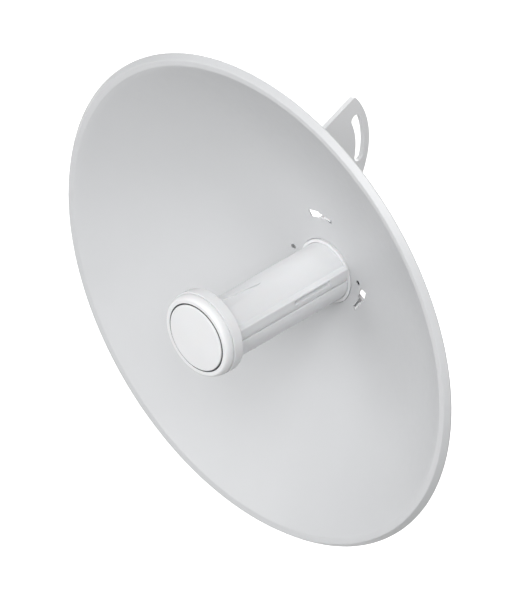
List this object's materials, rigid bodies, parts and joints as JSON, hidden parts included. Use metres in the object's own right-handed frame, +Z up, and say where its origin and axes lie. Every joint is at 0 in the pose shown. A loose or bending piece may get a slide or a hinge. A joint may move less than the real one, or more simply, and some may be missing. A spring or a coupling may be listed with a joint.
{
  "type": "outdoor wireless bridge",
  "caption": "Outdoor point-to-point radio: a shallow white parabolic dish with a plug-in feed tube and cap, a rear hub, and a fan-shaped steel elevation bracket.",
  "frame": {"origin": "centre of the elevation pivot bore, mid-thickness of the bracket's wing", "axes": "-Y is the way the dish looks (boresight), +X is to the right seen from the front and lies along the pivot bore, +Z is up"},
  "size_m": [0.42, 0.261, 0.42],
  "materials": {
    "dish_paint": "semi-gloss white powder coat on pressed steel",
    "bracket_paint": "light grey powder coat on 4 mm steel",
    "white_plastic": "satin white UV-stable moulded plastic",
    "grey_plastic": "satin light grey moulded plastic",
    "black_plastic": "matt black moulded plastic",
    "clear_plastic": "frosted clear moulded plastic",
    "black_rubber": "matt black moulded rubber",
    "zinc_steel": "bright zinc plate",
    "tinned_steel": "bright tin plate",
    "aluminium": "extruded, plain",
    "brass": "plain brass",
    "circuit_board": "green solder mask over fibreglass",
    "grey_pad": "soft grey silicone pad"
  },
  "bodies": {
    "mount": {"reflector": "dish_paint", "hub": "white_plastic", "hub_gasket": "black_rubber", "elevation_bracket": "bracket_paint", "bracket_screws": "zinc_steel", "bracket_washers": "zinc_steel", "ground_screw": "zinc_steel", "ground_washer": "brass", "release_spring": "zinc_steel", "door_pin": "zinc_steel", "cable_grommet": "black_rubber"},
    "feed": {"feed_upper_shell": "white_plastic", "feed_lower_shell": "white_plastic", "tube_end_plate": "white_plastic", "tube_seal": "black_rubber", "cap_ring": "white_plastic", "cap_disc": "white_plastic", "cap_seal": "black_rubber", "sub_reflector": "tinned_steel", "reflector_support": "white_plastic", "antenna_board": "circuit_board", "main_board": "circuit_board", "board_screws": "zinc_steel", "rf_shield_front": "tinned_steel", "rf_shield_rear": "tinned_steel", "lan_transformer": "black_plastic", "heat_spreader": "aluminium", "thermal_pad": "grey_pad", "ethernet_jack": "tinned_steel", "reset_switch": "black_plastic", "light_pipe": "clear_plastic"},
    "release_button": {"release_button": "grey_plastic"},
    "port_door": {"port_door": "white_plastic", "door_window": "clear_plastic"},
    "reset_button": {"reset_button": "black_plastic"}
  },
  "joints": [
    {"name": "feed_slide", "type": "slide", "parent": "mount", "child": "feed", "axis": [0, -1, 0], "range_m": [0, 0.03]},
    {"name": "release_press", "type": "slide", "parent": "mount", "child": "release_button", "axis": [0, 0, -1], "range_m": [0, 0.002], "stiffness_N_per_m": 400, "springref_m": -0.001, "deforming": ["release_spring"]},
    {"name": "door_hinge", "type": "hinge", "parent": "mount", "child": "port_door", "pos_m": [0.07, 0.0094, -0.0123], "axis": [1, 0, 0], "range_deg": [0, 110]},
    {"name": "reset_press", "type": "slide", "parent": "feed", "child": "reset_button", "axis": [0, -1, 0], "range_m": [0, 0.0005], "stiffness_N_per_m": 400, "springref_m": -0.0005}
  ]
}
